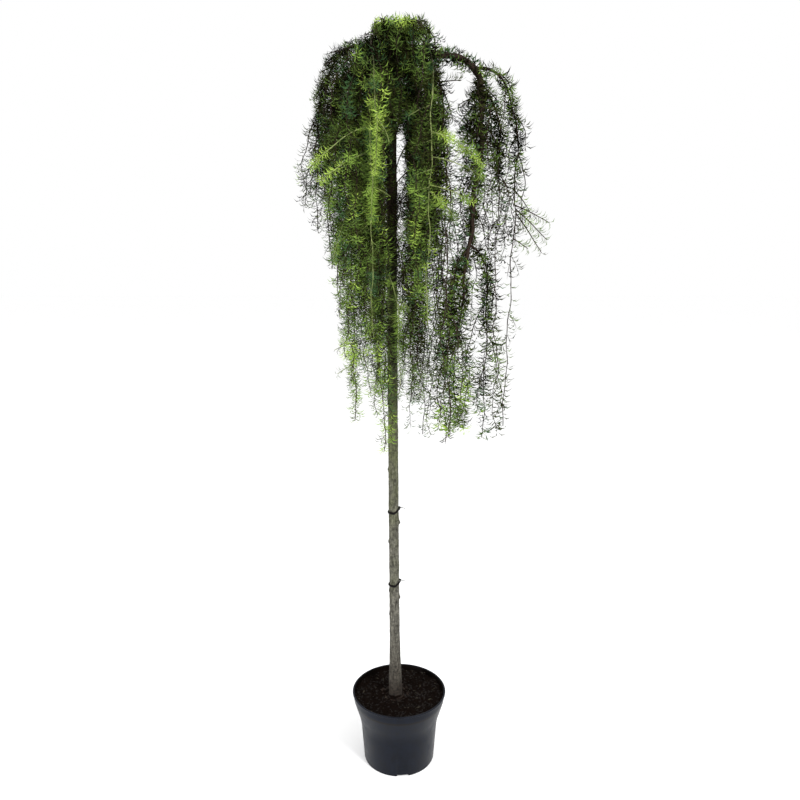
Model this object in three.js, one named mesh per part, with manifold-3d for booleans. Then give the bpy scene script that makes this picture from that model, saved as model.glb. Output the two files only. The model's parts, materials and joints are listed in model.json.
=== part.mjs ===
// A weeping larch grafted on a clear stem, standing in a round nursery pot.
// Millimetres, +Z up. The origin is at the middle of the pot's flat underside; +X is the side of
// the longest bough, and -Y is the front of the crown.
import * as THREE from "three";
import { mergeVertices } from "three/addons/utils/BufferGeometryUtils.js";
import Module from "manifold-3d";

const wasm = await Module();
wasm.setup();

const GAP = 0.3; // clear space between two pieces that meet
const DOWN = new THREE.Vector3(0, 0, -1);
const UP = new THREE.Vector3(0, 0, 1);

// Pot: injection-moulded, with a flared collar under an upright rim and a rolled lip.
const POT = {
  height: 219,
  lipRadius: 142.5,
  lipDepth: 4,
  rimTopRadius: 139.6,
  rimFootRadius: 138.4,
  rimFoot: 196,
  collarFootRadius: 117.2,
  collarFoot: 128,
  baseRadius: 107.5,
  baseRound: 4,
  wall: 2.4,
  floor: 3,
  segments: 36,
  drains: 3,
  drainTurn: -84,
  drainWidth: 34,
  drainHeight: 7,
  drainDepth: 16,
};

// Compost: fills the pot to a little under the lip and is level where the stem stands.
const SOIL = { top: 207 };

// Stem: slightly bowed, flared at the foot and swollen at the graft.
const TRUNK = {
  foot: SOIL.top + GAP,
  tip: 2086,
  footX: -11.5,
  topX: -20.5,
  bow: 1.5,
  footRadius: 20,
  stemRadius: 15.3,
  flareHeight: 125,
  topRadius: 13,
  graftHeight: 2040,
  graftSwell: 5,
  graftLength: 55,
  rings: 18,
  sides: 10,
};

// Two wire ties left round the stem, each tilted, with a short twisted tail.
const TIE = { wire: 2.2, tilt: 24, clearance: 1.2, tailLength: 20, sides: 5, segments: 14 };
const TIE_HEIGHTS = { tie_upper: 795, tie_lower: 568 };

// Boughs, as named sizes. azimuth: degrees from +X towards +Y. height: where it leaves the stem.
// rise: its first pitch above level, in degrees. straight: its run before it starts to bend down.
// reach: how far out it hangs. tip: height of its lowest shoot. lean: slope of the hanging part,
// outwards if positive. root: its first radius. bare: length of its bare limb. twigs: number of
// side shoots on its foliage. longest: the longest of them. spread: share of that length which the
// upper, middle and lower ones have. phase: the side on which the first one stands.
const BOUGHS = {
  right: {
    azimuth: 358, height: 2056, rise: -7, straight: 180, reach: 258, tip: 1012, lean: -0.11,
    root: 9, bare: 735, twigs: 4, longest: 120, spread: [1, 1, 0.5], phase: 0,
  },
  left: {
    azimuth: 184, height: 2014, rise: 45, straight: 35, reach: 188, tip: 1590, lean: 0.02,
    root: 7.5, bare: 112, twigs: 9, longest: 135, spread: [0.6, 0.8, 0.6], phase: 300,
  },
  left_back: {
    azimuth: 157, height: 1968, rise: 60, straight: 0, reach: 205, tip: 1490, lean: -0.04,
    root: 7, bare: 112, twigs: 8, longest: 140, spread: [0.7, 0.7, 0.5], phase: 200,
  },
  left_front: {
    azimuth: 223, height: 2038, rise: 50, straight: 0, reach: 152, tip: 1090, lean: -0.02,
    root: 6.5, bare: 96, twigs: 9, longest: 150, spread: [0.8, 0.7, 0.4], phase: 40,
  },
  front_left: {
    azimuth: 243, height: 2050, rise: 42, straight: 32, reach: 110, tip: 1300, lean: 0,
    root: 6, bare: 64, twigs: 8, longest: 150, spread: [0.6, 0.9, 0.5], phase: 150,
  },
  front: {
    azimuth: 255, height: 2030, rise: 45, straight: 0, reach: 80, tip: 993, lean: 0,
    root: 5.5, bare: 64, twigs: 8, longest: 100, spread: [0.8, 0.7, 0.5], phase: 20,
  },
  front_right: {
    azimuth: 315, height: 2070, rise: 34, straight: 56, reach: 150, tip: 1340, lean: -0.03,
    root: 6.5, bare: 80, twigs: 9, longest: 160, spread: [0.4, 0.9, 0.5], phase: 300,
  },
  right_front: {
    azimuth: 334, height: 2000, rise: 50, straight: 16, reach: 142, tip: 1030, lean: 0.03,
    root: 6.5, bare: 80, twigs: 8, longest: 120, spread: [0.4, 0.9, 0.5], phase: 250,
  },
  right_back: {
    azimuth: 40, height: 2012, rise: 50, straight: 16, reach: 165, tip: 1010, lean: 0.04,
    root: 7, bare: 96, twigs: 8, longest: 140, spread: [0.5, 0.8, 0.6], phase: 100,
  },
  back_right: {
    azimuth: 58, height: 1990, rise: 58, straight: 0, reach: 182, tip: 985, lean: 0,
    root: 6.5, bare: 96, twigs: 7, longest: 140, spread: [0.8, 0.8, 0.5], phase: 330,
  },
  back: {
    azimuth: 103, height: 2044, rise: 54, straight: 16, reach: 158, tip: 1110, lean: 0,
    root: 6.5, bare: 96, twigs: 7, longest: 140, spread: [0.8, 0.8, 0.5], phase: 60,
  },
  back_left: {
    azimuth: 130, height: 2018, rise: 58, straight: 0, reach: 184, tip: 1230, lean: -0.02,
    root: 6.5, bare: 96, twigs: 8, longest: 140, spread: [0.8, 0.8, 0.5], phase: 180,
  },
};

// Growth that springs from the right bough, `from` along it: a bough that hangs beyond it, a
// shoot from its shoulder, and one on each side near its end.
const ON_RIGHT = {
  far_right: {
    from: 228, azimuth: 6, rise: 25, straight: 0, reach: 128, tip: 1050, lean: -0.03,
    root: 5, bare: 80, twigs: 11, longest: 212, spread: [0.3, 0.62, 0.12], phase: 266, twigAngle: 68,
  },
  right_shoulder: {
    from: 285, azimuth: 338, rise: -20, straight: 0, reach: 60, tip: 1370, lean: -0.03,
    bare: 0, twigs: 7, longest: 90, spread: [0.6, 1, 0.5], phase: 0,
  },
  right_fork_outer: {
    from: 690, azimuth: 5, rise: 0, straight: 0, reach: 58, tip: 1020, lean: -0.02,
    bare: 0, twigs: 6, longest: 110, spread: [1, 1, 0.5], phase: 200,
  },
  right_fork_inner: {
    from: 705, azimuth: 200, rise: -10, straight: 0, reach: 44, tip: 1040, lean: 0.01,
    bare: 0, twigs: 6, longest: 110, spread: [1, 1, 0.5], phase: 90,
  },
};

// Shoots that hang close round the stem, straight from below the graft, with no limb.
const INNER = {
  inner_left: {
    azimuth: 196, height: 1930, rise: 30, straight: 0, reach: 66, tip: 1500, lean: 0,
    bare: 0, twigs: 5, longest: 90, spread: [1, 0.8, 0.6], phase: 0,
  },
  inner_front: {
    azimuth: 312, height: 1950, rise: 30, straight: 0, reach: 82, tip: 1130, lean: 0,
    bare: 0, twigs: 5, longest: 90, spread: [1, 0.8, 0.6], phase: 120,
  },
  inner_right: {
    azimuth: 12, height: 1925, rise: 30, straight: 0, reach: 100, tip: 1330, lean: 0,
    bare: 0, twigs: 5, longest: 110, spread: [1, 0.8, 0.6], phase: 240,
  },
  inner_back: {
    azimuth: 110, height: 1945, rise: 30, straight: 0, reach: 84, tip: 1360, lean: 0,
    bare: 0, twigs: 5, longest: 90, spread: [1, 0.8, 0.6], phase: 60,
  },
};

// The tuft on top of the graft, whose shoots spread over the roots of the boughs. sway: by which
// share those on the side of the longest bough are longer, and those opposite shorter.
const HEAD = {
  rise: 30, tip: 2050, twigs: 11, longest: 100, spread: [1, 0.9, 0.7], phase: 15, sway: 0.4,
  twigBend: 90, twigAngle: 58, twigClear: 15, weight: 0.45,
};
const FRESH = ["front_left", "front_right"]; // the masses that carry most of the new growth

const WEEP_STEP = 15; // length of one step along a limb or shoot
// A limb longer than `longest` is in two pieces.
const LIMB = { sides: 6, step: 2, taper: 0.55, longest: 300, bend: 240 };
const STEM = { innerRadius: 3, tipRadius: 1.3 };
const TWIG = {
  rootRadius: 2.3, tipRadius: 1, angle: 54, bend: 95, bare: 24, shortest: 48, clear: 24, lowest: 0.9,
};
// A tooth stands for a spray of needles about 25 mm long.
const NEEDLE = { length: 37, angle: 58, twist: 17, uneven: 0.35, bareTip: 2 };
// A shoot keeps this far inside the halfway line to the next mass, and this far from a limb.
const SPACE = { margin: 3.5, limbMargin: 7 };
const GOLDEN_ANGLE = 137.508;

const COLOURS = {
  pot: ["#2b2f36", 0.45],
  soil: ["#1c1512", 0.95],
  trunk: ["#74735f", 0.85],
  tie: ["#151312", 0.5],
  limb: ["#40352a", 0.9],
  dark: ["#2c4420", 0.75],
  fresh: ["#6d972c", 0.7],
};

const radians = THREE.MathUtils.degToRad;
const mix = THREE.MathUtils.lerp;

// A repeatable number from 0 to 1 for a pair of counts.
function chance(a, b) {
  const x = Math.sin(a * 12.9898 + b * 78.233) * 43758.5453;
  return x - Math.floor(x);
}

function heading(azimuth, pitch) {
  const level = Math.cos(radians(pitch));
  const [a, p] = [radians(azimuth), radians(pitch)];
  return new THREE.Vector3(level * Math.cos(a), level * Math.sin(a), Math.sin(p));
}

// A closed geometry, with its shared vertices merged, as a solid.
function solidOf(geometry) {
  const bare = geometry.clone();
  bare.deleteAttribute("normal");
  bare.deleteAttribute("uv");
  const merged = mergeVertices(bare, 1e-3);
  return new wasm.Manifold(
    new wasm.Mesh({
      numProp: 3,
      vertProperties: new Float32Array(merged.attributes.position.array),
      triVerts: new Uint32Array(merged.index.array),
    }),
  );
}

function geometryOf(solid) {
  const mesh = solid.getMesh();
  const geometry = new THREE.BufferGeometry();
  geometry.setAttribute("position", new THREE.BufferAttribute(mesh.vertProperties, 3));
  geometry.setIndex(new THREE.BufferAttribute(mesh.triVerts, 1));
  geometry.computeVertexNormals();
  return geometry;
}

// The largest outer shell of a solid: a loose scrap is dropped and a sealed hollow is filled.
function largestShell(solid) {
  const shells = solid.decompose();
  return shells.reduce((a, b) => (a.volume() > b.volume() ? a : b));
}

// A skin over rings of points, closed by a flat cap at its first ring and a point at its last.
// Each quad is split from the second corner of one ring to the first of the next.
function loft(rings, tip) {
  const sides = rings[0].length;
  const points = [...rings.flat(), tip];
  const faces = [];
  for (let j = 1; j < sides - 1; j++) faces.push(0, j + 1, j);
  for (let i = 0; i < rings.length - 1; i++)
    for (let j = 0; j < sides; j++) {
      const next = (j + 1) % sides;
      const [a, b] = [i * sides + j, i * sides + next];
      faces.push(a, b, a + sides, b, b + sides, a + sides);
    }
  const last = (rings.length - 1) * sides;
  for (let j = 0; j < sides; j++) faces.push(last + j, last + ((j + 1) % sides), points.length - 1);
  const geometry = new THREE.BufferGeometry().setFromPoints(points);
  geometry.setIndex(faces);
  return geometry;
}

// The path of a limb or shoot that bends down under its weight: after a straight run its direction
// turns, at each step, a little towards the direction in which it comes to hang. A level reach of
// `bend` times the angle turned follows from that.
function weep(start, first, length, bend, fall = DOWN, straight = 0) {
  const direction = first.clone();
  const path = [start.clone()];
  for (let s = 0; s < length - WEEP_STEP / 2; s += WEEP_STEP) {
    if (s >= straight) direction.addScaledVector(fall, WEEP_STEP / bend).normalize();
    path.push(path.at(-1).clone().addScaledVector(direction, WEEP_STEP));
  }
  return path;
}

// Tangent, and two directions across it that don't spin, at each point of a path.
function frames(path) {
  let across = new THREE.Vector3();
  return path.map((p, i) => {
    const along = path[Math.min(i + 1, path.length - 1)].clone().sub(path[Math.max(i - 1, 0)]).normalize();
    if (i === 0) across.crossVectors(Math.abs(along.z) > 0.9 ? new THREE.Vector3(1, 0, 0) : UP, along);
    across = across.clone().addScaledVector(along, -across.dot(along)).normalize();
    return { along, across, third: new THREE.Vector3().crossVectors(along, across) };
  });
}

function ringPoint(centre, frame, angle, radius) {
  return centre
    .clone()
    .addScaledVector(frame.across, radius * Math.cos(angle))
    .addScaledVector(frame.third, radius * Math.sin(angle));
}

// A bare tapering limb along part of a path, flat at both ends.
function limb(path, from, to, radiusAt) {
  const axes = frames(path);
  const steps = [];
  for (let i = from; i < to - LIMB.step / 2; i += LIMB.step) steps.push(i);
  steps.push(to);
  const rings = steps.map((k) =>
    Array.from({ length: LIMB.sides }, (_, j) =>
      ringPoint(path[k], axes[k], (2 * Math.PI * j) / LIMB.sides, radiusAt(k)),
    ),
  );
  return loft(rings, path[to]);
}

// A needled shoot along a path: a three-sided core on which each ring has one corner drawn out to
// a tooth that leans towards the shoot's tip, so that each tooth's root is part of the core.
// A tooth that `fits` refuses stays a plain corner.
function shoot(path, axes, rootRadius, tipRadius, bare, fits) {
  const rings = path.slice(0, -1).map((p, i) => {
    const radius = mix(rootRadius, tipRadius, i / path.length);
    const turned = radians(NEEDLE.twist * i);
    const ring = [0, 1, 2].map((j) => ringPoint(p, axes[i], turned + (2 * Math.PI * j) / 3, radius));
    const needled = i * WEEP_STEP >= bare && i > 0 && i < path.length - NEEDLE.bareTip;
    if (!needled) return ring;
    const corner = i % 3;
    const out = ring[corner].clone().sub(p).normalize();
    const length = NEEDLE.length * (1 - NEEDLE.uneven * chance(i, path.length));
    const tip = p
      .clone()
      .addScaledVector(out, length * Math.sin(radians(NEEDLE.angle)))
      .addScaledVector(axes[i].along, length * Math.cos(radians(NEEDLE.angle)));
    if (fits(tip)) ring[corner] = tip;
    return ring;
  });
  return loft(rings, path.at(-1));
}

// Pot

// The pot's outer outline from the foot to the lip, moved in by `inset`, as [radius, height].
function potOutline(inset, foot) {
  const p = POT;
  return [
    [p.baseRadius - inset, foot],
    [p.collarFootRadius - inset, p.collarFoot],
    [p.rimFootRadius - inset, p.rimFoot],
    [p.rimTopRadius - inset, p.height - p.lipDepth],
  ];
}

function lathe(outline) {
  const points = outline.map(([r, z]) => new THREE.Vector2(r, z));
  return solidOf(new THREE.LatheGeometry(points, POT.segments).rotateX(Math.PI / 2));
}

function makePot() {
  const p = POT;
  const lip = new THREE.Path().absarc(
    p.lipRadius - p.lipDepth / 2, p.height - p.lipDepth / 2, p.lipDepth / 2, -Math.PI / 2, Math.PI / 2,
  );
  const lipPoints = lip.getPoints(2).map((v) => [v.x, v.y]);
  const inside = potOutline(p.wall, p.floor).reverse();
  const shell = lathe([
    [0, 0],
    [p.baseRadius - p.baseRound, 0],
    ...potOutline(0, p.baseRound),
    ...lipPoints,
    [inside[0][0], p.height],
    ...inside,
    [0, p.floor],
  ]);
  const drains = Array.from({ length: p.drains }, (_, i) => {
    const block = new THREE.BoxGeometry(2 * p.drainDepth, p.drainWidth, 2 * p.drainHeight);
    block.translate(p.baseRadius, 0, 0);
    block.rotateZ(radians(p.drainTurn) + (2 * Math.PI * i) / p.drains);
    return solidOf(block);
  });
  return drains.reduce((pot, drain) => pot.subtract(drain), shell);
}

function makeSoil() {
  const inset = POT.wall + GAP;
  const [foot, collar, rim, top] = potOutline(inset, POT.floor + GAP);
  const share = (SOIL.top - rim[1]) / (top[1] - rim[1]);
  const edge = [mix(rim[0], top[0], share), SOIL.top];
  return lathe([[0, foot[1]], foot, collar, rim, edge, [0, SOIL.top]]);
}

// Stem

function trunkCentre(z) {
  const t = (z - TRUNK.foot) / (TRUNK.tip - TRUNK.foot);
  const x = mix(TRUNK.footX, TRUNK.topX, t) - TRUNK.bow * Math.sin(Math.PI * t);
  return new THREE.Vector3(x, TRUNK.bow * Math.sin(2 * Math.PI * t), z);
}

function trunkRadius(z) {
  const t = (z - TRUNK.foot) / (TRUNK.tip - TRUNK.foot);
  const spread = Math.exp(-(((z - TRUNK.foot) / TRUNK.flareHeight) ** 2));
  const flare = (TRUNK.footRadius - TRUNK.stemRadius) * spread;
  const swell = TRUNK.graftSwell * Math.exp(-(((z - TRUNK.graftHeight) / TRUNK.graftLength) ** 2));
  return mix(TRUNK.stemRadius, TRUNK.topRadius, t) + flare + swell;
}

// The stem, grown outwards by `extra`; rings lie closer together at the flare and the graft.
function trunkGeometry(extra) {
  const heights = Array.from({ length: TRUNK.rings }, (_, i) => {
    const t = i / (TRUNK.rings - 1);
    const eased = t - 0.13 * Math.sin(2 * Math.PI * t);
    return mix(TRUNK.foot, TRUNK.tip, eased);
  });
  const rings = heights.map((z) =>
    Array.from({ length: TRUNK.sides }, (_, j) => {
      const a = (2 * Math.PI * j) / TRUNK.sides;
      const r = trunkRadius(z) + extra;
      return trunkCentre(z).add(new THREE.Vector3(r * Math.cos(a), r * Math.sin(a), 0));
    }),
  );
  return loft(rings, trunkCentre(TRUNK.tip + TRUNK.graftSwell + extra));
}

// A tie: a wire ring stretched to an ellipse, so that it stays clear of the stem when it tilts,
// with the twisted ends standing out on one side.
function makeTie(z) {
  const tilt = radians(TIE.tilt);
  const radius = trunkRadius(z) + TIE.wire + TIE.clearance;
  const ring = new THREE.TorusGeometry(radius, TIE.wire, TIE.sides, TIE.segments);
  ring.scale(1 / Math.cos(tilt), 1, 1);
  const end = new THREE.Vector3(radius / Math.cos(tilt), 0, 0);
  const tail = [0, 1, 2, 3].map((i) =>
    end.clone().add(new THREE.Vector3((TIE.tailLength * i) / 3, 0, -i * i)),
  );
  const solid = solidOf(ring).add(solidOf(limb(tail, 0, 3, (i) => TIE.wire * (0.9 - 0.1 * i))));
  const centre = trunkCentre(z);
  const place = new THREE.Matrix4().makeTranslation(centre.x, centre.y, centre.z);
  return geometryOf(solid).applyMatrix4(place.multiply(new THREE.Matrix4().makeRotationY(-tilt)));
}

// Crown

// One growth is a path from its root to its lowest shoot, with the part of it that is bare limb.
function grow(name, start, sizes, host) {
  const { azimuth, rise, straight, reach, tip, lean, bare } = sizes;
  const out = heading(azimuth, 0);
  const fall = DOWN.clone().addScaledVector(out, lean).normalize();
  const bend = (reach - straight * Math.cos(radians(rise))) / (radians(rise) + Math.PI / 2);
  const whole = weep(start, heading(azimuth, rise), start.z - tip + 3 * reach, bend, fall, straight);
  const path = whole.slice(0, whole.findIndex((p) => p.z < tip) + 1);
  return { ...sizes, name, path, host, limbSteps: Math.round(bare / WEEP_STEP) };
}

const growths = Object.entries({ ...BOUGHS, ...INNER }).map(([name, sizes]) =>
  grow(name, trunkCentre(sizes.height), sizes),
);
const rightBough = growths[0];
for (const [name, sizes] of Object.entries(ON_RIGHT))
  growths.push(grow(name, rightBough.path[Math.round(sizes.from / WEEP_STEP)], sizes, rightBough));

const trunkGrown = solidOf(trunkGeometry(GAP + 0.1));
const group = new THREE.Group();

function addNode(name, geometry, [colour, roughness]) {
  const material = new THREE.MeshStandardMaterial({ color: colour, roughness, metalness: 0 });
  const mesh = new THREE.Mesh(geometry, material);
  mesh.name = name;
  group.add(mesh);
}

addNode("pot", geometryOf(makePot()), COLOURS.pot);
addNode("soil", geometryOf(makeSoil()), COLOURS.soil);
addNode("trunk", trunkGeometry(0), COLOURS.trunk);
for (const [name, z] of Object.entries(TIE_HEIGHTS)) addNode(name, makeTie(z), COLOURS.tie);

// Bare limbs, each cut clear of what carries it; a long one is in two pieces that meet at its bend

function limbRadius(g, step) {
  return g.root * (1 - (1 - LIMB.taper) * (step / g.limbSteps));
}

function limbSolid(g, from, to, extra) {
  return solidOf(limb(g.path, from, to, (step) => limbRadius(g, step) + extra));
}

const rightGrown = limbSolid(rightBough, 0, rightBough.limbSteps, GAP + 0.3);
const carrier = (g) => (g.host ? rightGrown : trunkGrown);
for (const g of growths) {
  if (!g.limbSteps) continue;
  const long = g.bare > LIMB.longest;
  const bendStep = long ? Math.round(LIMB.bend / WEEP_STEP) : g.limbSteps;
  const seated = largestShell(limbSolid(g, 0, bendStep, 0).subtract(carrier(g)));
  addNode(long ? `bough_${g.name}_arch` : `bough_${g.name}`, geometryOf(seated), COLOURS.limb);
  if (!long) continue;
  const fall = limbSolid(g, bendStep, g.limbSteps, 0);
  const along = frames(g.path)[bendStep].along.multiplyScalar(GAP);
  addNode(`bough_${g.name}_fall`, geometryOf(fall.translate(along.toArray())), COLOURS.limb);
}

// Foliage masses

// The tuft's short stem stands on the graft.
const headFoot = trunkCentre(TRUNK.tip + TRUNK.graftSwell + GAP);
growths.push({ ...HEAD, name: "head", path: weep(headFoot, UP, HEAD.rise, Infinity), limbSteps: 0 });

const solidWood = [];
for (let z = TRUNK.foot; z < TRUNK.tip; z += WEEP_STEP) solidWood.push([trunkCentre(z), trunkRadius(z)]);
for (const g of growths)
  for (let i = 0; i <= g.limbSteps && g.limbSteps; i++) solidWood.push([g.path[i], limbRadius(g, i)]);

const stems = growths.map((g) => g.path.slice(g.limbSteps));

function nearest(p, points) {
  return Math.sqrt(points.reduce((least, q) => Math.min(least, p.distanceToSquared(q)), Infinity));
}

// Whether a point lies in a mass's own space: nearer its stem than any other, and off the wood.
// The tuft's distances count for less, so that it spreads over the roots of the boughs.
function inSpace(index, p) {
  if (solidWood.some(([q, radius]) => p.distanceTo(q) < radius + SPACE.limbMargin)) return false;
  const away = (i) => nearest(p, stems[i]) * (growths[i].weight ?? 1);
  const own = away(index) + SPACE.margin;
  return stems.every((_, i) => i === index || away(i) > own);
}

// Side shoots leave the stem by the golden angle, longest at its upper end, and bend down.
function twigPaths(g, index) {
  const stem = stems[index];
  const axes = frames(stem);
  const paths = [];
  for (let i = 0; i < g.twigs; i++) {
    const share = (i + 0.3) / g.twigs;
    const k = Math.floor(share * (stem.length - 1) * TWIG.lowest);
    const turn = radians(GOLDEN_ANGLE * i + g.phase);
    const angle = radians(g.twigAngle ?? TWIG.angle);
    const out = ringPoint(new THREE.Vector3(), axes[k], turn, 1);
    const first = axes[k].along.clone().multiplyScalar(Math.cos(angle)).addScaledVector(out, Math.sin(angle));
    const [upper, middle, lower] = g.spread;
    const part = share < 0.5 ? mix(upper, middle, 2 * share) : mix(middle, lower, 2 * share - 1);
    const swayed = 1 + (g.sway ?? 0) * out.x;
    const length = g.longest * part * swayed * mix(0.7, 1, chance(index + 3, i));
    const path = weep(stem[k], first, length, g.twigBend ?? TWIG.bend);
    const clear = g.twigClear ?? TWIG.clear;
    const blocked = path.findIndex(
      (p, n) => n * WEEP_STEP > clear && (p.z < g.tip || !inSpace(index, p)),
    );
    const kept = blocked < 0 ? path : path.slice(0, blocked);
    if (kept.length * WEEP_STEP > TWIG.shortest) paths.push(kept);
  }
  return paths;
}

growths.forEach((g, index) => {
  const fits = (p) => inSpace(index, p);
  const axes = frames(g.path).slice(g.limbSteps);
  const stem = stems[index].map((p) => p.clone());
  if (g.limbSteps) stem[0].addScaledVector(axes[0].along, g.bare > LIMB.longest ? 2 * GAP : GAP);
  const rootRadius = g.limbSteps ? limbRadius(g, g.limbSteps) : STEM.innerRadius;
  const pieces = [shoot(stem, axes, rootRadius, STEM.tipRadius, 0, fits)];
  for (const path of twigPaths(g, index))
    pieces.push(shoot(path, frames(path), TWIG.rootRadius, TWIG.tipRadius, TWIG.bare, fits));
  const fused = wasm.Manifold.union(pieces.map(solidOf)).subtract(carrier(g));
  const fresh = FRESH.includes(g.name);
  addNode(`foliage_${g.name}`, geometryOf(largestShell(fused)), fresh ? COLOURS.fresh : COLOURS.dark);
});

export default group;
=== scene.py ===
# A weeping larch on a clear grafted stem, in a round nursery pot, dressed for rendering.
# Sizes are in millimetres in the pot's own frame (origin under the pot, +Z up, front at -Y) and
# are turned to metres where a mesh is made.
import json
from collections import namedtuple

import bpy
import numpy as np
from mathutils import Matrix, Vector

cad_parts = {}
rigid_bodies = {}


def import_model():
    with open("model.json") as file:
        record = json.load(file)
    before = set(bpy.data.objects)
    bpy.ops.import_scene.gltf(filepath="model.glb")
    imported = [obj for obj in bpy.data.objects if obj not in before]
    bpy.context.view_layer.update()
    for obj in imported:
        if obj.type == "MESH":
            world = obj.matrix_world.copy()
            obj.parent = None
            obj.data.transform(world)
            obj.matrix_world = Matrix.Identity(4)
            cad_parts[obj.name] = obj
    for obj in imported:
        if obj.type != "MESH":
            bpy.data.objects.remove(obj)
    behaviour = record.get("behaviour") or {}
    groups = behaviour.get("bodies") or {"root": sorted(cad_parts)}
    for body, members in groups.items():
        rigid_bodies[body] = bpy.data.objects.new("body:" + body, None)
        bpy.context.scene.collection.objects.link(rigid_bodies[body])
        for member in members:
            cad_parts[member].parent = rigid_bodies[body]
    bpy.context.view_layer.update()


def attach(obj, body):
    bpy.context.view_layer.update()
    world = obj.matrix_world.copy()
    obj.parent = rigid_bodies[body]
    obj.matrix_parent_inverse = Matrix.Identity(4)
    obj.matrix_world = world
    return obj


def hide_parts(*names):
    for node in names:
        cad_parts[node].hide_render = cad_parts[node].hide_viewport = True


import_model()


# View: a plain white floor that runs on into a white room, a broad soft light from the front right
# and a narrower one on the left, and a camera at head height that looks slightly down.
def linear(hex_colour):
    """Linear RGBA of an sRGB hex colour."""
    srgb = np.array([int(hex_colour[i : i + 2], 16) for i in (1, 3, 5)]) / 255
    rgb = np.where(srgb <= 0.04045, srgb / 12.92, ((srgb + 0.055) / 1.055) ** 2.4)
    return (*rgb.tolist(), 1.0)


def wire(tree, node, inputs):
    """Give a node's sockets, by name or number or in order, their inputs: a value, an output, or a
    node, whose first open output is taken."""
    for socket, value in inputs.items() if isinstance(inputs, dict) else enumerate(inputs):
        if isinstance(value, bpy.types.Node):
            value = next(output for output in value.outputs if output.enabled)
        if isinstance(value, bpy.types.NodeSocket):
            tree.links.new(value, node.inputs[socket])
        else:
            node.inputs[socket].default_value = value


def add(tree, kind, inputs=(), ramp=(), **settings):
    """Add a node with its settings, the places and colours of its colour ramp, and its inputs."""
    node = tree.nodes.new("ShaderNode" + kind)
    for name, value in settings.items():
        setattr(node, name, value)
    for i, (place, colour) in enumerate(ramp):
        node.color_ramp.elements[i].position = place
        node.color_ramp.elements[i].color = linear(colour)
    wire(tree, node, inputs)
    return node


def new_material(name, roughness, ior=1.5, specular=0.5):
    """A named material with its shader's plain numbers set; returns it, its tree and its shader."""
    material = bpy.data.materials.new(name)
    material.use_nodes = True
    tree = material.node_tree
    shader = tree.nodes["Principled BSDF"]
    wire(tree, shader, {"Roughness": roughness, "IOR": ior, "Specular IOR Level": specular})
    return material, tree, shader


def make_mesh(name, vertices, faces, material, smooth=True):
    """An object at the origin from millimetre vertices and an (n, 3) or (n, 4) array of faces."""
    faces = np.asarray(faces, dtype=np.int32)
    mesh = bpy.data.meshes.new(name)
    mesh.vertices.add(len(vertices))
    mesh.vertices.foreach_set("co", (np.asarray(vertices, dtype=np.float32) * 0.001).ravel())
    mesh.loops.add(faces.size)
    mesh.loops.foreach_set("vertex_index", faces.ravel())
    mesh.polygons.add(len(faces))
    mesh.polygons.foreach_set("loop_start", np.arange(len(faces), dtype=np.int32) * faces.shape[1])
    mesh.polygons.foreach_set("use_smooth", np.full(len(faces), smooth))
    mesh.update(calc_edges=True)
    mesh.materials.append(material)
    piece = bpy.data.objects.new(name, mesh)
    bpy.context.scene.collection.objects.link(piece)
    return piece


FLOOR_HALF = 40000.0
floor_points = np.array([[-1, -1, 0], [1, -1, 0], [1, 1, 0], [-1, 1, 0]]) * FLOOR_HALF
paper, tree, shader = new_material("matt white paper", 0.95)
wire(tree, shader, {"Base Color": linear("#ffffff")})
floor = make_mesh("floor", floor_points, [[0, 1, 2, 3]], paper)

scene = bpy.context.scene
scene.view_settings.view_transform = "Standard"
world = bpy.data.worlds.new("white room")
world.use_nodes = True
backdrop = world.node_tree.nodes["Background"]
wire(world.node_tree, backdrop, {"Color": linear("#ffffff"), "Strength": 1.0})
scene.world = world

LIGHTS = {  # place, aim and size in metres, power in watts
    "key": ((2.2, -2.6, 3.6), (0.0, 0.0, 1.4), (1.2, 1.2), 160),
    "left_strip": ((-1.6, -1.5, 0.9), (0.0, 0.0, 0.3), (0.25, 1.4), 28),
}
for light_name, (place, aim, size, power) in LIGHTS.items():
    lamp = bpy.data.lights.new(light_name, "AREA")
    lamp.shape = "RECTANGLE"
    lamp.size, lamp.size_y = size
    lamp.energy = power
    holder = bpy.data.objects.new(light_name, lamp)
    holder.location = place
    holder.rotation_euler = (Vector(aim) - Vector(place)).to_track_quat("-Z", "Y").to_euler()
    scene.collection.objects.link(holder)

EYE = np.array([3.0, -1962.0, 1485.0])
LOOK_DOWN = 10.4
lens = bpy.data.cameras.new("camera")
lens.sensor_width = 36.0
lens.lens = 31.5
camera = bpy.data.objects.new("camera", lens)
camera.location = EYE / 1000
camera.rotation_euler = (np.radians(90 - LOOK_DOWN), 0, 0)
scene.collection.objects.link(camera)
scene.camera = camera


# Pot: an injection-moulded polypropylene nursery container with a flared collar under an upright
# rim, a rolled lip, and three drain notches moulded into the foot, one of them at the front.
POT_SIDES = 180
DRAINS = 3
DRAIN_TURN = np.radians(-84)
DRAIN_HEIGHT = 7.0
DRAIN_INNER = 91.5
DRAIN_HALF_ANGLE, DRAIN_EDGE = 0.159, 0.02
POT_CORNERS = [  # radius and height, then how far the corner is rounded
    (0, 0, 0), (DRAIN_INNER, 0, 0.1), (DRAIN_INNER + 0.3, 0, 0.1), (107.5, 0, 2.5), (117.2, 128, 22),
    (138.4, 196, 8), (139.6, 214.6, 0.8), (142.5, 215.4, 1.2), (142.5, 219, 1.4), (137.4, 219, 1.4),
    (137, 214, 1), (136, 196.5, 8), (114.8, 128.5, 22), (105.1, 3, 2), (0, 3, 0),
]


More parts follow.
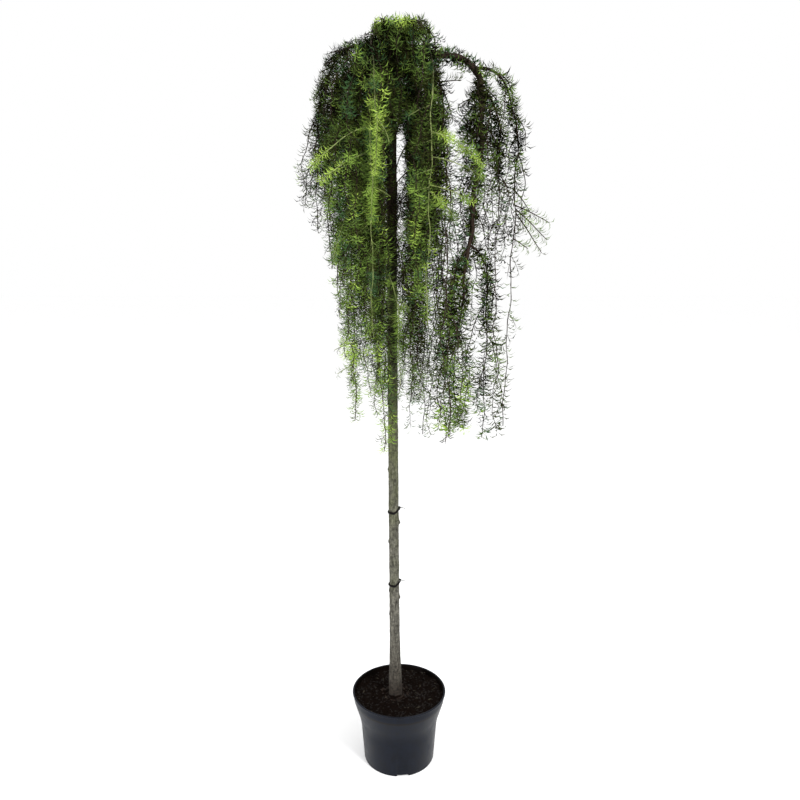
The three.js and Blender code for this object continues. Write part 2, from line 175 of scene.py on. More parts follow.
def rounded(corners, steps=6):
    """An outline whose inner corners are quadratic curves that start and end `rounding` away."""
    points, rounding = np.array(corners, dtype=float)[:, :2], np.array(corners, dtype=float)[:, 2]
    inwards = points[:-2] - points[1:-1]
    onwards = points[2:] - points[1:-1]
    start = points[1:-1] + inwards * (rounding[1:-1] / np.linalg.norm(inwards, axis=1))[:, None]
    end = points[1:-1] + onwards * (rounding[1:-1] / np.linalg.norm(onwards, axis=1))[:, None]
    t = np.linspace(0, 1, steps)[None, :, None]
    curve = (1 - t) ** 2 * start[:, None] + 2 * t * (1 - t) * points[1:-1, None] + t**2 * end[:, None]
    return np.concatenate([points[:1], curve.reshape(-1, 2), points[-1:]])


def circle(count):
    """Evenly spaced angles round a circle."""
    return np.linspace(0, 2 * np.pi, count, endpoint=False)


def grid_faces(rows, columns):
    """Quads of a grid of `rows` by `columns` points, joined round its columns."""
    i = np.arange(rows - 1)[:, None]
    j = np.arange(columns)[None, :]
    k = (j + 1) % columns
    quads = [i * columns + j, i * columns + k, (i + 1) * columns + k, (i + 1) * columns + j]
    return np.stack(np.broadcast_arrays(*quads), axis=-1).reshape(-1, 4)


outline = rounded(POT_CORNERS)
turn = circle(POT_SIDES)
radius, height = outline[:, :1], outline[:, 1:]
# A notch lifts the foot's outer part by a steep ramp of the angle from the notch's middle.
pitch = 2 * np.pi / DRAINS
from_middle = np.abs((turn - DRAIN_TURN + pitch / 2) % pitch - pitch / 2)
lift = DRAIN_HEIGHT * np.clip((DRAIN_HALF_ANGLE - from_middle) / DRAIN_EDGE, 0, 1)
outside = np.arange(len(outline))[:, None] < len(outline) // 2
at_foot = outside & (radius > DRAIN_INNER + 0.15) & (height < DRAIN_HEIGHT)
height = np.where(at_foot, np.maximum(height, lift), height)
pot_points = np.stack(np.broadcast_arrays(radius * np.cos(turn), radius * np.sin(turn), height), axis=-1)

# Moulded polypropylene: satin, almost black with a cool cast, a little scuffed, and brown with the
# compost's dust on the inner wall above it.
plastic, tree, shader = new_material("moulded polypropylene", 0.4, 1.49, 0.12)
coords = add(tree, "TexCoord").outputs["Object"]
scuff = add(tree, "TexNoise", {"Vector": coords, "Scale": 40.0, "Detail": 6.0, "Roughness": 0.7})
tint = add(tree, "ValToRGB", [scuff], [(0.35, "#060911"), (0.75, "#0b111d")])
outwards = add(tree, "Mapping", {"Vector": coords, "Scale": (1.0, 1.0, 0.0)})
span = add(tree, "VectorMath", [outwards], operation="LENGTH")
inner = add(tree, "MapRange", [span, 0.1373, 0.138, 1.0, 0.0])
rise = add(tree, "SeparateXYZ", [coords]).outputs["Z"]
upper = add(tree, "MapRange", [rise, 0.186, 0.192])
soiled = add(tree, "Math", [inner, upper], operation="MULTIPLY")
earthy = add(tree, "Mix", {0: soiled, 6: tint, 7: linear("#0b0705")}, data_type="RGBA")
gloss = add(tree, "MapRange", [scuff, 0.3, 0.7, 0.3, 0.46])
# The mould's grain is about 0.5 mm, and is drawn as 2 mm so that it shows.
grain = add(tree, "TexNoise", {"Vector": coords, "Scale": 500.0, "Detail": 2.0})
relief = add(tree, "Bump", {"Height": grain, "Strength": 0.1, "Distance": 0.0006})
wire(tree, shader, {"Base Color": earthy, "Roughness": gloss, "Normal": relief})

POT_SHARP = np.radians(35)
pot = make_mesh("nursery_pot", pot_points.reshape(-1, 3), grid_faces(len(outline), POT_SIDES), plastic)
pot.data.set_sharp_from_angle(angle=POT_SHARP)
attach(pot, "root")
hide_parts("pot")


# Compost: peat and composted bark, moist and nearly black, filled to a little under the lip, with
# chips of bark and pale fibre lying on it and larger chips round the stem's foot.
SOIL_TOP = 207.0
SOIL_RADIUS = 138.5
SOIL_RINGS, SOIL_SIDES = 56, 170
STEM_X = -11.5
HEAP, HEAP_SPAN = 6, 40
CHIPS = {  # count, colour, size, and the middle and reach of where they lie
    "bark_chips": (600, "#110c09", 5.5, 0, SOIL_RADIUS - 5),
    "pale_fibres": (60, "#2b271e", 5.5, 0, SOIL_RADIUS - 5),
    "foot_chips": (80, "#1d140e", 8.0, STEM_X, 44),
}


def chance(a, b):
    """A repeatable number from 0 to 1 for a pair of counts: the fraction of a large sine."""
    x = np.sin(np.asarray(a) * 12.9898 + np.asarray(b) * 78.233) * 43758.5453
    return x - np.floor(x)


def lumps(points, size, seed):
    """Smooth noise from 0 to 1 with lumps of `size`: values at a lattice's corners, eased between."""
    scaled = np.asarray(points, dtype=float) / size
    cell = np.floor(scaled)
    t = scaled - cell
    t = t * t * (3 - 2 * t)
    total = np.zeros(scaled.shape[:-1])
    for corner in np.ndindex(2, 2, 2):
        spread = (cell + corner) @ np.array([1.271, 3.117, 7.473]) + seed * 1.73
        weight = np.prod(np.where(np.array(corner) == 1, t, 1 - t), axis=-1)
        total += weight * chance(spread, seed)
    return total


def soil_height(x, y):
    """Height of the compost's top: lumps of three sizes round a level a little under its solid's, and
    a low heap round the stem."""
    flat = np.stack([x, y, 0 * x], axis=-1)
    rough = 9 * lumps(flat, 26, 1) + 6 * lumps(flat, 9, 2) + 4 * lumps(flat, 4, 3)
    return SOIL_TOP - 12 + rough + HEAP * np.exp(-((x + 12) ** 2 + y**2) / HEAP_SPAN**2)


ring = np.linspace(1, 0, SOIL_RINGS)[:, None]
turn = circle(SOIL_SIDES)
# The outermost ring is a skirt that runs down inside the pot's wall.
skirt = ring > 0.99
radius = SOIL_RADIUS * np.where(skirt, 0.93, ring)
x, y = radius * np.cos(turn), radius * np.sin(turn)
z = np.where(skirt, SOIL_TOP - 30, soil_height(x, y))
soil_points = np.stack([x, y, z], axis=-1).reshape(-1, 3)

# Moist peat: quite matt, in fine crumbs and fibres of two near-black browns.
peat, tree, shader = new_material("peat and bark compost", 0.95, 1.5, 0.03)
coords = add(tree, "TexCoord").outputs["Object"]
fibre = add(tree, "TexNoise", {"Vector": coords, "Scale": 220.0, "Detail": 8.0, "Roughness": 0.75})
tint = add(tree, "ValToRGB", [fibre], [(0.35, "#050302"), (0.75, "#150d09")])
relief = add(tree, "Bump", {"Height": fibre, "Strength": 0.6, "Distance": 0.003})
wire(tree, shader, {"Base Color": tint, "Normal": relief})

soil = make_mesh("compost", soil_points, grid_faces(SOIL_RINGS, SOIL_SIDES), peat)
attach(soil, "root")
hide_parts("soil")

for chip_name, (count, colour, chip_size, chip_x, chip_reach) in CHIPS.items():
    # Each chip is a flat double pyramid, longer than broad, turned and tilted at random.
    random = np.random.default_rng(len(chip_name))
    reach = chip_reach * np.sqrt(random.random(count))
    around = 2 * np.pi * random.random(count)
    middle = np.stack([chip_x + reach * np.cos(around), reach * np.sin(around)], axis=-1)
    middle = np.concatenate([middle, soil_height(*middle.T)[:, None] + 0.8], axis=1)
    facing = 2 * np.pi * random.random(count)
    tilt = random.normal(0, 0.35, count)
    length = chip_size * (0.4 + random.random(count))[:, None]
    level = np.cos(tilt)
    long_way = np.stack([np.cos(facing) * level, np.sin(facing) * level, np.sin(tilt)], axis=-1)
    cross_way = np.stack([-np.sin(facing), np.cos(facing), 0 * facing], axis=-1)
    up_way = np.cross(long_way, cross_way)
    broad, thick = 0.4, 0.22
    shape = [(1, 0, 0), (0, broad, 0), (-1, 0, 0), (0, -broad, 0), (0, 0, thick), (0, 0, -thick)]
    corners = [middle + length * (a * long_way + b * cross_way + c * up_way) for a, b, c in shape]
    chip_points = np.stack(corners, axis=1).reshape(-1, 3)
    sides = [(0, 1, 4), (1, 2, 4), (2, 3, 4), (3, 0, 4), (1, 0, 5), (2, 1, 5), (3, 2, 5), (0, 3, 5)]
    chip_faces = (np.array(sides)[None] + 6 * np.arange(count)[:, None, None]).reshape(-1, 3)
    litter, tree, shader = new_material(chip_name.replace("_", " "), 0.9, 1.5, 0.2)
    wire(tree, shader, {"Base Color": linear(colour)})
    chips = make_mesh(chip_name, chip_points, chip_faces, litter, smooth=False)
    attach(chips, "root")


# Stem: a clear, slightly bowed trunk of young larch wood, flared at the foot and swollen at the
# graft, with shallow furrows and the knots of side shoots that were pruned off.
TRUNK_FOOT, TRUNK_TIP = 207.3, 2086.0
STEM_SIDES, STEM_STEP = 52, 3.0
STEM_LEAN, STEM_BOW = 9.0, 1.5
STEM_RADIUS, STEM_TAPER = 15.3, 2.3
FLARE, FLARE_SPAN = 4.7, 125.0
LOBES, LOBE_OUT, LOBE_SPAN = 3, 1.6, 50
GRAFT, GRAFT_SWELL, GRAFT_SPAN = 2040.0, 5.0, 55.0
KNOT_SPAN, SCAR_SPAN, SCAR_DEPTH = 4.5, 4.0, 0.8
KNOTS = [  # height, angle round the stem in degrees, and how far it stands out
    (921, 190, 3.0), (890, 285, 2.5), (760, 345, 5.0), (741, 300, 2.0), (701, 195, 3.0), (640, 100, 3.0),
    (546, 200, 3.0), (525, 345, 4.0), (511, 290, 2.5), (471, 205, 3.0), (438, 295, 2.5), (980, 60, 3.0),
]


def trunk_centre(z):
    """Middle of the stem at height z: a straight lean, a bow of half a wave and one of a whole wave."""
    t = (np.asarray(z, dtype=float) - TRUNK_FOOT) / (TRUNK_TIP - TRUNK_FOOT)
    x = STEM_X - STEM_LEAN * t - STEM_BOW * np.sin(np.pi * t)
    return np.stack([x, STEM_BOW * np.sin(2 * np.pi * t), z + 0 * t], axis=-1)


def trunk_radius(z):
    """A straight taper, and bell curves for the foot's flare and the graft's swelling."""
    t = (z - TRUNK_FOOT) / (TRUNK_TIP - TRUNK_FOOT)
    flare = FLARE * np.exp(-(((z - TRUNK_FOOT) / FLARE_SPAN) ** 2))
    swell = GRAFT_SWELL * np.exp(-(((z - GRAFT) / GRAFT_SPAN) ** 2))
    return STEM_RADIUS - STEM_TAPER * t + flare + swell


# Relief: furrows drawn out along the stem, three root lobes that fade upwards, and round knots.
z = np.arange(TRUNK_FOOT - 18, TRUNK_TIP + 1, STEM_STEP)
turn = circle(STEM_SIDES)
outwards = np.stack([np.cos(turn), np.sin(turn), 0 * turn], axis=-1)
centre = trunk_centre(z)
plain = centre[:, None] + outwards * trunk_radius(np.maximum(z, TRUNK_FOOT))[:, None, None]
furrows = 1.5 * lumps(plain * [1, 1, 0.15], 5.5, 4) + 0.9 * lumps(plain * [1, 1, 0.5], 2.6, 5) - 1.2
lobes = LOBE_OUT * np.exp(-(z - TRUNK_FOOT) / LOBE_SPAN)[:, None] * np.cos(LOBES * turn + 0.6)
knot_height, knot_turn, knot_out = np.array(KNOTS, dtype=float).T
around = (turn[:, None] - np.radians(knot_turn) + np.pi) % (2 * np.pi) - np.pi
distance = np.hypot(15 * around[None], 0.7 * (z[:, None, None] - knot_height))
knots = (knot_out * np.exp(-((distance / KNOT_SPAN) ** 2))).max(axis=-1)
scars = np.exp(-((distance / SCAR_SPAN) ** 2)).max(axis=-1)
surface = plain + outwards * (furrows + lobes + knots)[..., None]
tip_ring = np.repeat(trunk_centre(TRUNK_TIP + 5)[None, None], STEM_SIDES, axis=1)
stem_points = np.concatenate([surface, tip_ring]).reshape(-1, 3)

# Young larch bark: thin and matt, grey-brown in fine long furrows, with a film of green algae that
# is strongest under the crown, brown and damp at the foot, dark scars round the knots, and flecks, and a dark
# brown inside the crown that is painted shade.
bark, tree, shader = new_material("young larch bark", 0.85, 1.5, 0.25)
coords = add(tree, "TexCoord").outputs["Object"]
drawn_out = add(tree, "Mapping", {"Vector": coords, "Scale": (1.0, 1.0, 0.14)})
furrow = add(tree, "TexNoise", {"Vector": drawn_out, "Scale": 230.0, "Detail": 6.0, "Roughness": 0.65})
tone = add(tree, "ValToRGB", [furrow], [(0.3, "#1d1b15"), (0.7, "#646259")])
patch = add(tree, "TexNoise", {"Vector": coords, "Scale": 14.0, "Detail": 4.0})
rise = add(tree, "SeparateXYZ", [coords]).outputs["Z"]
higher = add(tree, "MapRange", [rise, 0.4, 1.1, -0.25, 0.25])
film = add(tree, "Math", [patch, higher], operation="ADD")
share = add(tree, "MapRange", [film, 0.35, 0.75, 0.0, 0.75])
scar = add(tree, "Attribute", attribute_name="scar").outputs["Fac"]
splash = add(tree, "MapRange", [rise, 0.22, 0.42, 0.85, 0.0])
# Painted shade: the bark turns dark brown from 1.25 m to 1.6 m up, where the crown shades it.
painted_crown_shade = add(tree, "MapRange", [rise, 1.25, 1.6])
LAYERS = [(share, "#3c4122"), (scar, "#15120e"), (splash, "#221a15"), (painted_crown_shade, "#352b20")]
for cover, colour in LAYERS:
    tone = add(tree, "Mix", {0: cover, 6: tone, 7: linear(colour)}, data_type="RGBA")
speck = add(tree, "TexNoise", {"Vector": coords, "Scale": 130.0, "Detail": 5.0, "Roughness": 0.7})
fleck = add(tree, "MapRange", [speck, 0.36, 0.64, 0.45, 1.65])
mottled = add(tree, "Mix", {0: 1.0, 6: tone, 7: fleck}, data_type="RGBA", blend_type="MULTIPLY")
relief = add(tree, "Bump", {"Height": furrow, "Strength": 0.8, "Distance": 0.002})
wire(tree, shader, {"Base Color": mottled, "Normal": relief})

stem = make_mesh("stem", stem_points, grid_faces(len(z) + 1, STEM_SIDES), bark)
stain = stem.data.attributes.new("scar", "FLOAT", "POINT")
scar_share = np.concatenate([scars.ravel(), np.zeros(STEM_SIDES)]).astype(np.float32) * SCAR_DEPTH
stain.data.foreach_set("value", scar_share)
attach(stem, "root")
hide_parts("trunk")


# Ties: two lengths of black soft-coated wire left round the stem, level at the front and drawn up on
# the right, each with a twisted end that stands out.
TIES = {"tie_upper": 795.0, "tie_lower": 568.0}
TIE_RISE = 11.0
TIE_TURNS, TIE_SIDES = 72, 12
TIE_THICK, TIE_BROAD = 1.6, 3.6
END_RINGS, END_LENGTH = 28, 19

# The coating: dull black, and grey with dust in places.
rubber, tree, shader = new_material("black soft wire coating", 0.75, 1.52, 0.1)
coords = add(tree, "TexCoord").outputs["Object"]
dust = add(tree, "TexNoise", {"Vector": coords, "Scale": 260.0, "Detail": 4.0})
tint = add(tree, "ValToRGB", [dust], [(0.4, "#040303"), (0.75, "#0f0d0c")])
wire(tree, shader, {"Base Color": tint})

for tie_name, tie_height in TIES.items():
    turn = circle(TIE_TURNS)
    section = circle(TIE_SIDES)
    draw = np.clip((np.cos(turn) - 0.1) / 0.9, 0, 1)
    draw = draw * draw * (3 - 2 * draw)
    middle = trunk_centre(tie_height)
    band_height = tie_height - 4 + TIE_RISE * draw
    band_radius = trunk_radius(tie_height) + TIE_THICK + TIE_THICK * draw
    r = band_radius[:, None] + TIE_THICK * np.cos(section)
    band_x = middle[0] + r * np.cos(turn)[:, None]
    band_y = middle[1] + r * np.sin(turn)[:, None]
    band_z = band_height[:, None] + TIE_BROAD * np.sin(section)
    band = np.stack([band_x, band_y, band_z], axis=-1)
    band_faces = grid_faces(TIE_TURNS + 1, TIE_SIDES)[:, ::-1] % (TIE_TURNS * TIE_SIDES)
    # The twisted end: a wavy tapering tube that starts as a knot on the band's right side.
    t = np.linspace(0, 1, END_RINGS)[:, None]
    thick = 1.1 + 1.9 * np.exp(-(((t - 0.1) / 0.1) ** 2)) - 0.6 * t
    thick[[0, -1]] = 0.05
    end_x = middle[0] + band_radius[0] - 1.5 + END_LENGTH * t
    end_y = middle[1] - 1.5 + 1.2 * np.sin(9 * t) + thick * np.cos(section)
    end_z = band_height[0] + 3 - 5 * t * t + 0.8 * np.cos(11 * t) + thick * np.sin(section)
    end = np.stack(np.broadcast_arrays(end_x, end_y, end_z), axis=-1)
    tie_points = np.concatenate([band.reshape(-1, 3), end.reshape(-1, 3)])
    tie_faces = np.concatenate([band_faces, grid_faces(END_RINGS, TIE_SIDES) + TIE_TURNS * TIE_SIDES])
    tie = make_mesh(tie_name + "_band", tie_points, tie_faces, rubber)
    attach(tie, "root")
    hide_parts(tie_name)


# Boughs: they leave the stem below the graft's top, arch over and hang under their own weight; the
# bare limbs are brown and rough with old leaf spurs. Sizes are those of the part's source.
WEEP_STEP = 15.0
BOUGH_WANDER = 3.5
DOWN = np.array([0.0, 0.0, -1.0])
# parent and at: the stem and a height on it, or the right bough and a run along it. azimuth: degrees
# from +X towards +Y. rise: first pitch in degrees. straight: run before it bends. reach: how far out
# it hangs. tip: height of its lowest shoot. lean: outward slope of the hanging part. root: first
# radius. bare: length of its limb.
Bough = namedtuple("Bough", "parent at azimuth rise straight reach tip lean root bare")
BOUGHS = {
    "right": Bough("stem", 2056, 358, -7, 180, 258, 1012, -0.11, 9, 735),
    "left": Bough("stem", 2014, 184, 45, 35, 188, 1590, 0.02, 7.5, 112),
    "left_back": Bough("stem", 1968, 157, 60, 0, 205, 1490, -0.04, 7, 112),
    "left_front": Bough("stem", 2038, 223, 50, 0, 152, 1090, -0.02, 6.5, 96),
    "front_left": Bough("stem", 2050, 243, 42, 32, 110, 1300, 0, 6, 64),
    "front": Bough("stem", 2030, 255, 45, 0, 80, 993, 0, 5.5, 64),
    "front_right": Bough("stem", 2070, 315, 34, 56, 150, 1340, -0.03, 6.5, 80),
    "right_front": Bough("stem", 2000, 334, 50, 16, 142, 1030, 0.03, 6.5, 80),
    "right_back": Bough("stem", 2012, 40, 50, 16, 165, 1010, 0.04, 7, 96),
    "back_right": Bough("stem", 1990, 58, 58, 0, 182, 985, 0, 6.5, 96),
    "back": Bough("stem", 2044, 103, 54, 16, 158, 1110, 0, 6.5, 96),
    "back_left": Bough("stem", 2018, 130, 58, 0, 184, 1230, -0.02, 6.5, 96),
    "inner_left": Bough("stem", 1930, 196, 30, 0, 66, 1500, 0, 5.5, 0),
    "inner_front": Bough("stem", 1950, 312, 30, 0, 82, 1130, 0, 5.5, 0),
    "inner_right": Bough("stem", 1925, 12, 30, 0, 100, 1330, 0, 5.5, 0),
    "inner_back": Bough("stem", 1945, 110, 30, 0, 84, 1360, 0, 5.5, 0),
    "far_right": Bough("right", 228, 6, 25, 0, 128, 1050, -0.03, 5, 80),
    "right_shoulder": Bough("right", 285, 338, -20, 0, 60, 1370, -0.03, 5.5, 0),
    "right_fork_outer": Bough("right", 690, 5, 0, 0, 58, 1020, -0.02, 5.5, 0),
    "right_fork_inner": Bough("right", 705, 200, -10, 0, 44, 1040, 0.01, 5.5, 0),
}
GROWTHS = list(BOUGHS)
bare, root, TIPS = np.array([(bough.bare, bough.root, bough.tip) for bough in BOUGHS.values()], dtype=float).T
WOOD_RINGS, WOOD_SIDES = 230, 12
LIMB_TAPER = 0.55
SHOOT_STEP = 5.0
SHOOT_TIP = 1.1

Shoots = namedtuple("Shoots", "places ways side length growth roll")


def unit(vectors):
    """The vectors at length 1."""
    return vectors / np.maximum(np.linalg.norm(vectors, axis=-1, keepdims=True), 1e-9)


def between(first, second, angle):
    """The direction at an angle from the first of two square directions towards the second."""
    return first * np.cos(angle)[..., None] + second * np.sin(angle)[..., None]


def heading(azimuth, pitch):
    """The direction at an azimuth from +X and a pitch above level, both in degrees."""
    a, p = np.radians(azimuth), np.radians(pitch)
    return np.stack([np.cos(p) * np.cos(a), np.cos(p) * np.sin(a), np.sin(p) + 0 * a], axis=-1)


def weep(start, first, fall, bend, straight, steps, step):
    """Paths of many limbs that bend under their weight. After a straight run each step adds
    step / bend of the direction in which the limb comes to hang, and makes the sum a unit again."""
    places, ways = [start], [first]
    for i in range(steps):
        turned = unit(ways[-1] + fall * (step / bend)[:, None])
        ways.append(np.where((i * step >= straight)[:, None], turned, ways[-1]))
        places.append(places[-1] + ways[-1] * step)
    return np.stack(places, axis=1), np.stack(ways, axis=1)


def wander(places, step, amount, seed):
    """Paths with the small bends of grown wood: sine waves across them, about 200 and 80 mm long,
    that set in over the first 120 mm."""
    s = np.arange(places.shape[1]) * step
    count = np.arange(len(places))
    shift = np.zeros_like(places)
    for k, (wave, share) in enumerate([(200, 1), (230, 1), (80, 0.35), (95, 0.35)]):
        start = 2 * np.pi * chance(count, seed + k)[:, None]
        shift[..., k % 2] += share * np.sin(2 * np.pi * s / wave + start)
    return places + amount * np.minimum(s / 120, 1)[None, :, None] * shift


def resampled(path, step, smooth=5):
    """A path at even steps along its length, with its corners eased by a running mean."""
    run = np.concatenate([[0], np.cumsum(np.linalg.norm(np.diff(path, axis=0), axis=1))])
    at = np.arange(0, run[-1], step)
    even = np.stack([np.interp(at, run, path[:, k]) for k in range(3)], axis=-1)
    padded = np.concatenate([even[:1].repeat(smooth // 2, 0), even, even[-1:].repeat(smooth // 2, 0)])
    mean = [np.convolve(padded[:, k], np.ones(smooth) / smooth, "valid") for k in range(3)]
    return np.stack(mean, axis=-1)


paths = {}
for name, bough in BOUGHS.items():
    if bough.parent == "right":
        start = paths["right"][round(bough.at / SHOOT_STEP)]
    else:
        start = trunk_centre(bough.at)
    out = heading(bough.azimuth, 0)
    rise = np.radians(bough.rise)
    bend = (bough.reach - bough.straight * np.cos(rise)) / (rise + np.pi / 2)
    steps = int((start[2] - bough.tip + 3 * bough.reach) / WEEP_STEP)
    fall = unit(DOWN + bough.lean * out)
    first = heading(bough.azimuth, bough.rise)
    straight = np.array([bough.straight])
    places, _ = weep(start[None], first[None], fall, np.array([bend]), straight, steps, WEEP_STEP)
    places = wander(places, WEEP_STEP, BOUGH_WANDER, len(paths))
    corners = places[0][: np.argmax(places[0][:, 2] < bough.tip) + 1]
    paths[name] = resampled(corners, SHOOT_STEP)

# All the boughs and their hanging stems as one set of shoots, padded to the longest.
last = np.array([len(path) - 1 for path in paths.values()])
longest = last.max() + 1
padded = [np.concatenate([path, path[-1:].repeat(longest - len(path), 0)]) for path in paths.values()]
stem_places = np.stack(padded)
stem_length = last * SHOOT_STEP
stem_side = np.stack([np.cross(DOWN, heading(bough.azimuth, 0)) for bough in BOUGHS.values()])
past = np.arange(longest)[None, :, None] >= last[:, None, None]
stem_ways = np.where(past, DOWN, unit(np.gradient(stem_places, axis=1)))
every = np.arange(len(GROWTHS))
stems = Shoots(stem_places, stem_ways, stem_side, stem_length, every, 0.0 * every)


def along(shoots, which, distance):
    """Place and direction at a distance along each named shoot, linear between its steps."""
    at = np.clip(distance / SHOOT_STEP, 0, shoots.places.shape[1] - 1.001)
    k = at.astype(int)
    t = (at - k)[..., None]
    place = (1 - t) * shoots.places[which, k] + t * shoots.places[which, k + 1]
    way = (1 - t) * shoots.ways[which, k] + t * shoots.ways[which, k + 1]
    return place, unit(way)


def across(shoots, which, way, turn):
    """The direction that stands off a shoot at an angle round it, from its side."""
    side = unit(shoots.side[which] - way * np.sum(shoots.side[which] * way, -1, keepdims=True))
    return between(side, np.cross(way, side), turn)


def stem_radius(which, distance):
    """Radius of a bough: from its root down to a share of that over the bare limb, then by a cube to
    its tip."""
    limb = root[which] * (1 - (1 - LIMB_TAPER) * distance / np.maximum(bare[which], 1))
    t = (distance - bare[which]) / (stem_length[which] - bare[which])
    hanging = SHOOT_TIP + (root[which] * LIMB_TAPER - SHOOT_TIP) * np.maximum(1 - t, 0) ** 3
    return np.where(distance < bare[which], limb, hanging)


def tubes(shoots, rings, sides, radius_at):
    """Round tubes along shoots: `rings` evenly spaced circles each, of `radius_at` shoot and share."""
    count = len(shoots.length)
    which = np.repeat(np.arange(count), rings).reshape(count, rings)
    share = np.broadcast_to(np.linspace(0, 1, rings), (count, rings))
    place, way = along(shoots, which, share * shoots.length[:, None])
    turn = circle(sides)
    ring = across(shoots, which[..., None], way[:, :, None], turn + 0 * which[..., None])
    points = place[:, :, None] + ring * radius_at(which, share)[:, :, None, None]
    faces = grid_faces(rings, sides)[None] + (np.arange(count) * rings * sides)[:, None, None]
    return points, ring, faces.reshape(-1, 4)


def wood_radius(which, share):
    """A bough's radius by the share of its length, drawn to a point at its end."""
    distance = share * stem_length[which]
    return stem_radius(which, distance) * np.where(share >= 1, 0.05, 1)


# Bark relief: rough lumps of two sizes, as of bark and old spurs, in step with the limb's thickness.
wood_points, wood_out, wood_faces = tubes(stems, WOOD_RINGS, WOOD_SIDES, wood_radius)
thickness = np.linalg.norm(wood_points - wood_points.mean(axis=2, keepdims=True), axis=-1)
roughness = 0.65 * lumps(wood_points, 12, 6) + 0.5 * lumps(wood_points, 6, 7) - 0.55
wood_points = wood_points + wood_out * (thickness * roughness)[..., None]

# Old twig bark: matt, in flakes from near black to brown.
brown_bark, tree, shader = new_material("brown larch twig bark", 0.85, 1.5, 0.2)
coords = add(tree, "TexCoord").outputs["Object"]
flake = add(tree, "TexNoise", {"Vector": coords, "Scale": 260.0, "Detail": 5.0, "Roughness": 0.65})
tint = add(tree, "ValToRGB", [flake], [(0.32, "#110c09"), (0.72, "#3a2b20")])
relief = add(tree, "Bump", {"Height": flake, "Strength": 0.6, "Distance": 0.0012})
wire(tree, shader, {"Base Color": tint, "Normal": relief})

# Bark of this year's growth: smooth pale green, and brown on the arch of the two young boughs.
green_bark, tree, shader = new_material("green shoot bark", 0.6, 1.5, 0.3)
coords = add(tree, "TexCoord").outputs["Object"]
blush = add(tree, "TexNoise", {"Vector": coords, "Scale": 60.0, "Detail": 3.0})
tint = add(tree, "ValToRGB", [blush], [(0.35, "#545f30"), (0.7, "#8a9558")])
rise = add(tree, "SeparateXYZ", [coords]).outputs["Z"]
older = add(tree, "MapRange", [rise, 1.86, 2.02])
aged = add(tree, "Mix", {0: older, 6: tint, 7: linear("#2b2416")}, data_type="RGBA")
wire(tree, shader, {"Base Color": aged})

YOUNG = np.array([name in ("front_left", "front_right") for name in GROWTHS])
young_face = np.repeat(YOUNG, len(wood_faces) // len(GROWTHS))
WOOD = {"boughs": (~young_face, brown_bark), "young_boughs": (young_face, green_bark)}
for piece_name, (kept, material) in WOOD.items():
    used, faces = np.unique(wood_faces[kept], return_inverse=True)
    wood = make_mesh(piece_name, wood_points.reshape(-1, 3)[used], faces.reshape(-1, 4), material)
    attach(wood, "root")
    if material is green_bark:
        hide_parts("bough_front_left", "bough_front_right")
    else:
        limbs = [name for name, young in zip(GROWTHS, YOUNG) if BOUGHS[name].bare and not young]
        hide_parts("bough_right_arch", "bough_right_fall", *["bough_" + name for name in limbs[1:]])


# Shoots: each bough carries hanging shoots, set by the golden angle and bent down like the bough,
# and each of those, and the bough's own stem, carries short side sprays by the same rule.
GOLDEN = np.radians(137.508)
